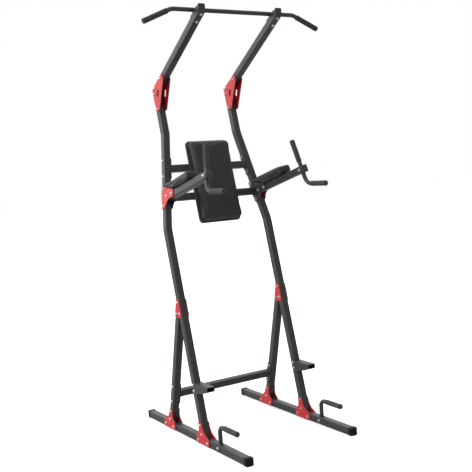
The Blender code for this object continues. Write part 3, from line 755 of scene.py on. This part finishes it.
# ---- upholstery -----------------------------------------------------------
CLOTH_FRAMES = 20
CLOTH_PRESSURE = 4
CLOTH_TENSION = 15
CLOTH_QUALITY = 5
BACK_CORNER = 0.026
BACK_CROWN = 0.016
BACK_VOXEL = 0.006
BACK_SWELL = 0.009           # furthest that the cover may move as it is blown up
FOREARM_VOXEL = 0.0045
FOREARM_SWELL = 0.006
WEDGE_CORNER = 0.012


def inflated(name, mesh_data, voxel, cap):
    """Blow up a slightly small foam shape under its cover with Cloth."""
    bmesh.ops.recalc_face_normals(mesh_data, faces=mesh_data.faces[:])
    mesh = bpy.data.meshes.new(name)
    mesh_data.to_mesh(mesh)
    mesh_data.free()
    pad = bpy.data.objects.new(name, mesh)
    bpy.context.scene.collection.objects.link(pad)
    remesh = pad.modifiers.new("remesh", "REMESH")
    remesh.mode = "VOXEL"
    remesh.voxel_size = voxel
    settle(pad)
    rest = [vert.co.copy() for vert in pad.data.vertices]
    cloth = pad.modifiers.new("cloth", "CLOTH")
    cloth.settings.use_pressure = True
    cloth.settings.uniform_pressure_force = CLOTH_PRESSURE
    cloth.settings.effector_weights.gravity = 0
    cloth.settings.tension_stiffness = CLOTH_TENSION
    cloth.settings.quality = CLOTH_QUALITY
    cloth.point_cache.frame_start = 1
    cloth.point_cache.frame_end = CLOTH_FRAMES
    for step in range(1, CLOTH_FRAMES + 1):
        bpy.context.scene.frame_set(step)
    settle(pad)
    bpy.context.scene.frame_set(1)
    for vert, home in zip(pad.data.vertices, rest):
        move = vert.co - home
        if move.length > cap:
            vert.co = home + move * (cap / move.length)
    return pad


def settle(made):
    graph = bpy.context.evaluated_depsgraph_get()
    mesh = bpy.data.meshes.new_from_object(made.evaluated_get(graph))
    made.modifiers.clear()
    made.data = mesh


def cover(pad, node):
    """Smooth a placed pad and give it its vinyl cover."""
    smooth = pad.modifiers.new("smooth", "SUBSURF")
    smooth.levels = 1
    smooth.render_levels = 1
    settle(pad)
    pad.data.materials.clear()
    pad.data.materials.append(VINYL)
    pad.data.shade_smooth()
    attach(pad, "root")
    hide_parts(node)


def seam(mesh_data, pad, outline, placement, reach, radius=0.0016):
    """Welt around a pad: each point is drawn in from outside to its skin."""
    loop = []
    normal = placement.to_3x3() @ Z
    hub = placement @ Vector((0, 0, reach))
    for a, b in outline:
        aim = placement @ Vector((a, b, reach))
        far = hub + (aim - hub) * 1.5
        hit, spot, _, _ = pad.ray_cast(far, (hub - far).normalized())
        loop.append(spot if hit else aim)
    weld_bead(mesh_data, loop, normal, radius)
    return loop


def stitches(mesh_data, loop, normal, pitch=0.0065):
    """Short thread dashes just above a seam."""
    gone = 0.0
    for a, b in zip(loop, loop[1:] + loop[:1]):
        length = (b - a).length
        if length < 1e-6:
            continue
        along = (b - a) / length
        while gone < length:
            centre = a + along * gone
            side = along.cross(normal).normalized()
            stack(mesh_data, frame_of(centre, along, normal), (
                (0.0017, 0.0003, 0.0002, -0.0006), (0.0020, 0.0004, 0.0003, 0.0),
                (0.0017, 0.0003, 0.0002, 0.0006)))
            gone += pitch
        gone -= length


def slab(half_a, half_b, low, high, corner, crown):
    """Foam block, a little small, with its top edge rolled over."""
    mesh_data = bmesh.new()
    layers = [(half_a - 0.003, half_b - 0.003, corner - 0.001, low), (half_a, half_b, corner, low + 0.004)]
    for k in range(7):
        angle = math.pi / 2 * k / 6
        pull = crown * (1 - math.cos(angle))
        layers.append((half_a - pull, half_b - pull, max(0.004, corner - pull * 0.3),
                       high - crown + crown * math.sin(angle)))
    stack(mesh_data, Matrix.Identity(4), layers)
    return mesh_data


back_middle = (BACK_FROM + BACK_TO) / 2
back_length = (BACK_TO - BACK_FROM) / 2
back_face = HALF - 0.003 + GAP
board = bmesh.new()
soft_box(board, frame_of(on_lean(0, back_middle, back_face + BACK_BOARD / 2), X, OUT.cross(X)),
         BACK_HALF - 0.003, back_length - 0.003, BACK_BOARD / 2, 0.022)
piece("backrest_ply_board", board, PLY, "backing_board", ["backrest_board"])
back_place = frame_of(on_lean(0, back_middle, back_face + BACK_BOARD + GAP), X, OUT.cross(X))
pad = inflated("backrest_cushion", slab(BACK_HALF - 0.004, back_length - 0.004, 0.0,
                                        BACK_THICK - 0.006, BACK_CORNER, BACK_CROWN),
               BACK_VOXEL, BACK_SWELL)
for vert in pad.data.vertices:
    vert.co.z = max(vert.co.z, 0.0004)  # flat where it rests on the board
pad.data.transform(back_place)
cover(pad, "backrest_pad")
welt = bmesh.new()
thread = bmesh.new()
loop = seam(welt, pad, rounded(BACK_HALF, back_length, BACK_CORNER, 8), back_place, 0.014)
stitches(thread, [spot + OUT * 0.005 for spot in loop], OUT)
piece("backrest_welt", welt, VINYL)
piece("backrest_stitching", thread, THREAD, "pad_vinyl")

# ---- forearm supports -----------------------------------------------------
ARM_PLATE = ((-0.0175, 0.060), (0.010, 0.057), (0.119, 0.0185), (0.119, -0.0185),
             (0.066, -0.0185), (0.040, -0.034), (0.019, -0.060), (-0.0175, -0.060))
for label, side in SIDES:
    up, across = kinked(side)
    origin = on_lean(side * half_width_at(ARM_LEVEL), ARM_LEVEL)
    hub = origin + OUT * HANDLE_AT
    tube = bmesh.new()
    sweep(tube, [origin + OUT * (HALF + GAP), origin + OUT * ARM_END], across, SQUARE)
    for sign in (-1, 1):
        bolt("handle_bolts_" + label, hub + across * sign * HALF, across * sign,
             "head" if sign == side else "nut")
        ring = frame_of(hub + up * sign * HALF, across, up.cross(across) * -1)
        collar = [ring @ Vector((a, b, 0)) for a, b in circle(BAR_RADIUS + 0.0012, 24)]
        weld_bead(tube, collar, up, 0.0012)
    piece("steel_forearm_tube_" + label, tube, PAINT, "frame_paint", ["forearm_tube_" + label])

    cap = bmesh.new()
    stack(cap, frame_of(origin + OUT * ARM_END, across, OUT.cross(across)), (
        (HALF, HALF, CORNER, 0.0002), (HALF, HALF, CORNER, 0.0022),
        (HALF - 0.0008, HALF - 0.0008, CORNER, 0.0031), (HALF - 0.003, HALF - 0.003, CORNER, 0.0035)))
    piece("forearm_end_cap_" + label, cap, ARM_CAP, "end_cap", ["forearm_tube_cap_" + label])

    for face, sign in (("inner", -1), ("outer", 1)):
        outward = across * side * sign
        mesh_data = bmesh.new()
        plate(mesh_data, [soft_corners(ARM_PLATE, 0.008)],
              frame_of(origin + outward * (HALF + GAP + PLATE / 2), OUT, up), PLATE)
        look = (PAINT, "frame_paint") if face == "inner" else (RED, "bracket_paint")
        piece(f"{face}_forearm_bracket_{label}", mesh_data, *look,
              [f"{face}_forearm_plate_{label}"])
        for d in BRACKET_BOLTS:
            bolt("forearm_bracket_bolts_" + label, origin + OUT * d + outward * FACE, outward,
                 "nut" if face == "inner" else "head")
        if face == "outer":
            for end in (-1, 1):
                bolt("forearm_bracket_bolts_" + label,
                     origin + up * end * BOLT_REACH + outward * FACE, outward)

    handle = bmesh.new()
    top = hub + up * HANDLE_UP
    corner = hub - up * HANDLE_CORNER
    tip = Vector((corner.x, DIP_TIP_Y, corner.z))
    sweep(handle, filleted([top, corner, tip], HANDLE_BEND), up.cross(Y).normalized(),
          circle(BAR_RADIUS))
    piece("bent_handle_bar_" + label, handle, PAINT, "frame_paint", ["handle_bar_" + label])
    grip("hand_foam_" + label, "hand_grip_" + label, hub + up * HAND_GRIP_FROM, top)
    grip("dip_foam_" + label, "dip_grip_" + label,
         Vector((corner.x, corner.y - DIP_GRIP_FROM, corner.z)), tip)

# ---- steps ----------------------------------------------------------------
STEP_TOP = 0.312
STEP_LIP = 0.287
STEP_FOLD_Y = -0.150
STEP_FOLD_Z = 0.274
STEP = ((-0.036, STEP_TOP), (STEP_Y, STEP_TOP), (STEP_Y, STEP_LIP),
        (STEP_FOLD_Y, STEP_FOLD_Z), (-0.060, 0.253), (-0.048, 0.253))


def post_face(z):
    return upright_line(z) - HALF / math.cos(LEAN) - GAP


under = STEP_TOP - STEP_SHEET
for label, side in SIDES:
    x = side * TRACK
    step = bmesh.new()
    for sign in (-1, 1):
        place = frame_of(X * (x + sign * (STEP_HALF - 0.0015)), Y, Z)
        plate(step, [soft_corners(STEP, 0.004)], place, STEP_SHEET)
    tread = [(post_face(STEP_TOP), STEP_TOP), (STEP_Y, STEP_TOP), (STEP_Y, under),
             (post_face(under), under)]
    sole = [(STEP_Y, STEP_LIP + STEP_SHEET), (STEP_Y, STEP_LIP), (STEP_FOLD_Y, STEP_FOLD_Z),
            (-0.088, 0.2597), (-0.088, 0.2627), (STEP_FOLD_Y, STEP_FOLD_Z + STEP_SHEET)]
    for outline in (tread, sole):
        plate(step, [outline], frame_of(X * x, Y, Z), 2 * (HALF + GAP), 0.0003)
    for k in range(5):
        y = -0.176 + k * 0.022
        soft_box(step, frame_of(Vector((x, y, STEP_TOP)), X, Y), 0.014, 0.0016, 0.0005, 0.0014, 0.0003)
    piece("folded_step_" + label, step, PAINT, "frame_paint", ["step_" + label])
    for z in STEP_BOLTS:
        for sign in (-1, 1):
            bolt("step_bolts_" + label, Vector((x + sign * STEP_HALF, upright_line(z) - 0.004, z)),
                 X * sign, "head" if sign == side else "nut")

    handle = bmesh.new()
    tip = Vector((x, PUSH_TIP_Y, PUSH_Z))
    sweep(handle, filleted([Vector((x, PUSH_Y, BEAM_TOP + GAP)), Vector((x, PUSH_Y, PUSH_Z)), tip],
                           PUSH_BEND), X, circle(BAR_RADIUS))
    foot = Vector((x, PUSH_Y, BEAM_TOP + 0.0006))
    weld_bead(handle, [foot + X * a + Y * b for a, b in circle(BAR_RADIUS + 0.0008, 24)], Z, 0.0018)
    piece("bent_push_up_handle_" + label, handle, PAINT, "frame_paint", ["push_up_handle_" + label])
    grip("push_up_foam_" + label, "push_up_grip_" + label,
         Vector((x, PUSH_Y - PUSH_GRIP_FROM, PUSH_Z)), tip)
    for sign in (-1, 1):
        bolt("push_up_bolts_" + label, Vector((x + sign * HALF, PUSH_Y, BEAM_Z)), X * sign,
             "head" if sign == side else "nut")

for name, mesh_data in fasteners.items():
    piece(name, mesh_data, ZINC, None, (), 40)


# ---- forearm pads ---------------------------------------------------------
WEDGE = ((PAD_FROM, PAD_REAR_LOW), (PAD_FLAT_FROM, HALF + GAP), (PAD_TO, HALF + GAP),
         (PAD_TO, PAD_TOP), (PAD_FROM, PAD_TOP))


def wedge_pad():
    """Foam block whose rear underside slopes up to clear the bracket."""
    outline = soft_corners(WEDGE, WEDGE_CORNER, 5)
    mesh_data = bmesh.new()
    rings = []
    for shrink, w in ((0.006, -1.0), (0.002, -0.93), (0.0, -0.8), (0.0, 0.8), (0.002, 0.93),
                      (0.006, 1.0)):
        rings.append([Vector((w * (PAD_HALF - 0.003), a, d))
                      for d, a in inset(outline, shrink + 0.003)])
    skin(mesh_data, rings)
    return mesh_data


master = inflated("forearm_cushion", wedge_pad(), FOREARM_VOXEL, FOREARM_SWELL)
for label, side in SIDES:
    up, across = kinked(side)
    origin = on_lean(side * half_width_at(ARM_LEVEL), ARM_LEVEL)
    pad = bpy.data.objects.new("forearm_cushion_" + label, master.data.copy())
    bpy.context.scene.collection.objects.link(pad)
    for vert in pad.data.vertices:
        w, a, d = vert.co
        if d > PAD_FLAT_FROM:
            a = max(a, HALF + GAP)
        vert.co = origin + across * w + up * a + OUT * d
    cover(pad, "forearm_pad_" + label)

    # a welt joins each side panel of the cover to the band that runs round it
    hub = Vector(((PAD_FLAT_FROM + PAD_TO) / 2, (HALF + PAD_TOP) / 2))
    place = frame_of(origin + OUT * hub.x + up * hub.y, OUT, up)
    outline = soft_corners([(d - hub.x, a - hub.y) for d, a in WEDGE], WEDGE_CORNER, 8)
    welt = bmesh.new()
    thread = bmesh.new()
    for sign in (-1, 1):
        loop = seam(welt, pad, outline, place, sign * (PAD_HALF - 0.0045), 0.0015)
        inward = across * (place.to_3x3() @ Z).dot(across) * -sign
        stitches(thread, [spot + inward * 0.004 for spot in loop], across)
    piece("forearm_welt_" + label, welt, VINYL)
    piece("forearm_stitching_" + label, thread, THREAD, "pad_vinyl")
bpy.data.objects.remove(master, do_unlink=True)

# ---- floor, light and camera ----------------------------------------------
def by_ray(tree, lighting, shown):
    """One shader lights the object, the other is what shows behind and under it."""
    choose = tree.nodes.new("ShaderNodeMixShader")
    ray = tree.nodes.new("ShaderNodeLightPath")
    tree.links.new(ray.outputs["Is Camera Ray"], choose.inputs["Fac"])
    tree.links.new(lighting, choose.inputs[1])
    tree.links.new(shown, choose.inputs[2])
    return choose.outputs["Shader"]


FLOOR_HALF = 30
FLOOR_GREY = 0.42            # what the floor reflects on to the object
BRIGHT_SIDE = (-0.48, 0.42, 0.77)
GLOW_SPREAD = (-0.7, 1.0)    # from facing away from the bright side to facing it
GLOW_STRENGTH = (0.35, 2.1)
KEY_PLACE = (-4.4, 1.2, 2.6)
KEY_TARGET = (0, 0, 1.1)
KEY_SIZE = 2.2
KEY_POWER = 130

floor_mesh = bpy.data.meshes.new("studio_floor")
floor_mesh.from_pydata([(a * FLOOR_HALF, b * FLOOR_HALF, 0) for a, b in
                        ((-1, -1), (1, -1), (1, 1), (-1, 1))], [], [(0, 1, 2, 3)])
floor = bpy.data.objects.new("studio_floor", floor_mesh)
bpy.context.scene.collection.objects.link(floor)
pale, tree, bsdf, place = shader_of("pale_floor")
tree.links.new(ramp_of(tree, noise_of(tree, place, 0.8, 3, 0.5), ((0.3, grey(0.92)), (0.7, grey(0.94)))),
               bsdf.inputs["Base Color"])
bsdf.inputs["Roughness"].default_value = 0.9
dull = tree.nodes.new("ShaderNodeBsdfDiffuse")
dull.inputs["Color"].default_value = (*grey(FLOOR_GREY), 1.0)
tree.links.new(by_ray(tree, dull.outputs["BSDF"], bsdf.outputs["BSDF"]),
               tree.nodes["Material Output"].inputs["Surface"])
floor_mesh.materials.append(pale)

# soft light all round, stronger from above and behind on the left; the backdrop shows white
world = bpy.data.worlds.new("studio")
bpy.context.scene.world = world
world.use_nodes = True
tree = world.node_tree
glow = tree.nodes["Background"]
toward = tree.nodes.new("ShaderNodeVectorMath")
toward.operation = "DOT_PRODUCT"
toward.inputs[1].default_value = BRIGHT_SIDE
tree.links.new(tree.nodes.new("ShaderNodeTexCoord").outputs["Generated"], toward.inputs[0])
spread = tree.nodes.new("ShaderNodeMapRange")
spread.interpolation_type = "SMOOTHSTEP"
for socket, value in zip(spread.inputs[1:5], GLOW_SPREAD + GLOW_STRENGTH):
    socket.default_value = value
tree.links.new(toward.outputs["Value"], spread.inputs["Value"])
tree.links.new(spread.outputs["Result"], glow.inputs["Strength"])
white = tree.nodes.new("ShaderNodeBackground")
white.inputs["Color"].default_value = (1.0, 1.0, 1.0, 1.0)
glow.inputs["Color"].default_value = (1.0, 1.0, 1.0, 1.0)
tree.links.new(by_ray(tree, glow.outputs["Background"], white.outputs["Background"]),
               tree.nodes["World Output"].inputs["Surface"])


def lamp(name, place, target, size, power):
    data = bpy.data.lights.new(name, "AREA")
    data.energy = power
    data.size = size
    made = bpy.data.objects.new(name, data)
    bpy.context.scene.collection.objects.link(made)
    made.location = place
    made.rotation_euler = (Vector(target) - Vector(place)).to_track_quat("-Z", "Y").to_euler()


lamp("key", KEY_PLACE, KEY_TARGET, KEY_SIZE, KEY_POWER)
bpy.context.scene.view_settings.view_transform = "Standard"

camera_data = bpy.data.cameras.new("camera")
camera = bpy.data.objects.new("camera", camera_data)
bpy.context.scene.collection.objects.link(camera)
IMAGE_SIZE = 472
FOCAL_LENGTH = 811.1         # in the same unit as the image size
camera_data.sensor_width = 36
camera_data.lens = FOCAL_LENGTH / IMAGE_SIZE * camera_data.sensor_width
CAMERA_PLACE = Vector((-2.256, -3.623, 1.395))
right = Vector((0.8436, -0.5333, -0.0625)).normalized()
back = -Vector((0.5278, 0.8450, -0.0860)).normalized()
above = back.cross(right).normalized()
right = above.cross(back)
camera.matrix_world = frame_of(CAMERA_PLACE, right, above)
bpy.context.scene.camera = camera
